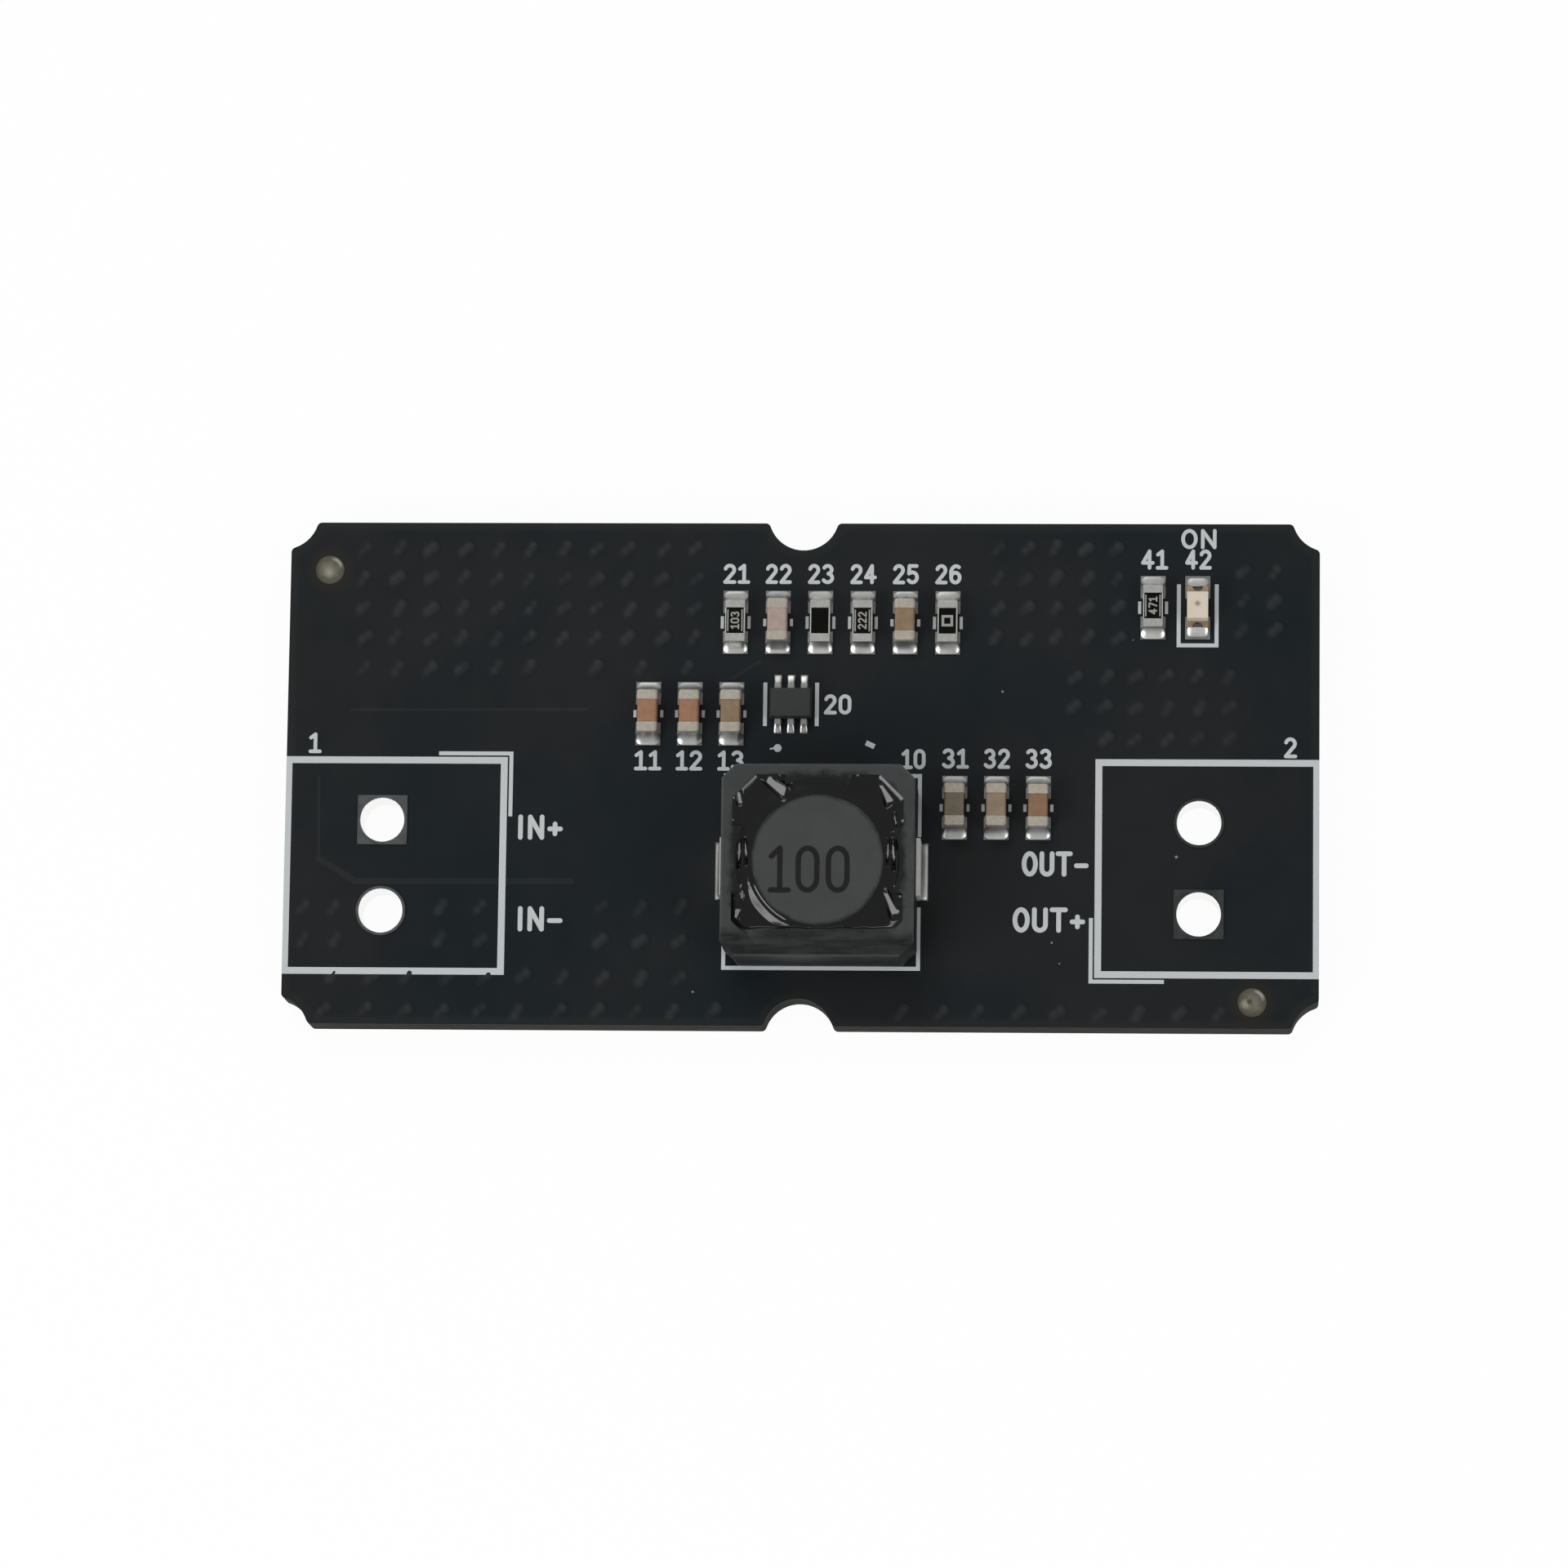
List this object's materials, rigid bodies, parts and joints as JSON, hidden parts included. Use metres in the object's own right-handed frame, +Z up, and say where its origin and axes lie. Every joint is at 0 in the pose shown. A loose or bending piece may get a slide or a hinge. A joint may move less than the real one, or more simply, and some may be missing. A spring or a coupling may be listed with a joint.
{
  "type": "step-down converter module",
  "caption": "Small black circuit board that lowers a DC voltage, with a shielded power inductor, chip parts, plated terminal holes and edge notches.",
  "frame": {"origin": "centre of the board's outline on its underside", "axes": "+X along the long side towards the output holes, +Y towards the long edge behind the chip row, +Z up out of the face that carries the parts"},
  "size_m": [0.0394, 0.0194, 0.0048],
  "materials": {
    "solder_mask": "satin black solder mask over glass-epoxy laminate",
    "legend_ink": "white printed ink",
    "bare_copper": "bare finish, dulled gold",
    "hole_plating": "tinned copper",
    "solder": "bright tin solder",
    "tinned_ends": "matte tin plating",
    "resistor_coat": "dark glass coat",
    "alumina": "white alumina",
    "brown_ceramic": "brown fired ceramic",
    "grey_ceramic": "grey-brown fired ceramic",
    "pink_ceramic": "pale pinkish ceramic",
    "lamp_laminate": "cream laminate",
    "gilt_terminals": "thin gold plating",
    "lamp_die": "semiconductor die",
    "lamp_lens": "milky clear resin",
    "chip_moulding": "dark moulding compound",
    "ferrite_shield": "satin grey-black ferrite",
    "ferrite_core": "matte grey ferrite",
    "enamelled_wire": "copper wire in clear enamel",
    "tinned_clips": "tinned strip",
    "black_glue": "glossy black epoxy"
  },
  "bodies": {
    "root": {"board_legend": "legend_ink", "circuit_board": "solder_mask", "control_capacitor_1": "pink_ceramic", "control_capacitor_1_end_caps": "tinned_ends", "control_capacitor_2": "brown_ceramic", "control_capacitor_2_end_caps": "tinned_ends", "control_resistor_1": "alumina", "control_resistor_1_coat": "resistor_coat", "control_resistor_1_terminals": "tinned_ends", "control_resistor_2": "alumina", "control_resistor_2_coat": "resistor_coat", "control_resistor_2_terminals": "tinned_ends", "control_resistor_3": "alumina", "control_resistor_3_coat": "resistor_coat", "control_resistor_3_terminals": "tinned_ends", "control_resistor_4": "alumina", "control_resistor_4_coat": "resistor_coat", "control_resistor_4_terminals": "tinned_ends", "control_row_solder": "solder", "fiducials": "bare_copper", "inductor_clips": "tinned_clips", "inductor_core": "ferrite_core", "inductor_glue": "black_glue", "inductor_shield": "ferrite_shield", "inductor_solder": "solder", "inductor_winding": "enamelled_wire", "input_capacitor_1": "brown_ceramic", "input_capacitor_1_end_caps": "tinned_ends", "input_capacitor_2": "brown_ceramic", "input_capacitor_2_end_caps": "tinned_ends", "input_capacitor_3": "brown_ceramic", "input_capacitor_3_end_caps": "tinned_ends", "input_capacitor_solder": "solder", "input_hole_plating": "hole_plating", "lamp_base": "lamp_laminate", "lamp_die": "lamp_die", "lamp_lens": "lamp_lens", "lamp_resistor": "alumina", "lamp_resistor_coat": "resistor_coat", "lamp_resistor_solder": "solder", "lamp_resistor_terminals": "tinned_ends", "lamp_solder": "solder", "lamp_terminals": "gilt_terminals", "output_capacitor_1": "grey_ceramic", "output_capacitor_1_end_caps": "tinned_ends", "output_capacitor_2": "grey_ceramic", "output_capacitor_2_end_caps": "tinned_ends", "output_capacitor_3": "brown_ceramic", "output_capacitor_3_end_caps": "tinned_ends", "output_capacitor_solder": "solder", "output_hole_plating": "hole_plating", "regulator_body": "chip_moulding", "regulator_leads": "tinned_ends", "regulator_solder": "solder", "solder_lands": "solder"}
  },
  "joints": []
}
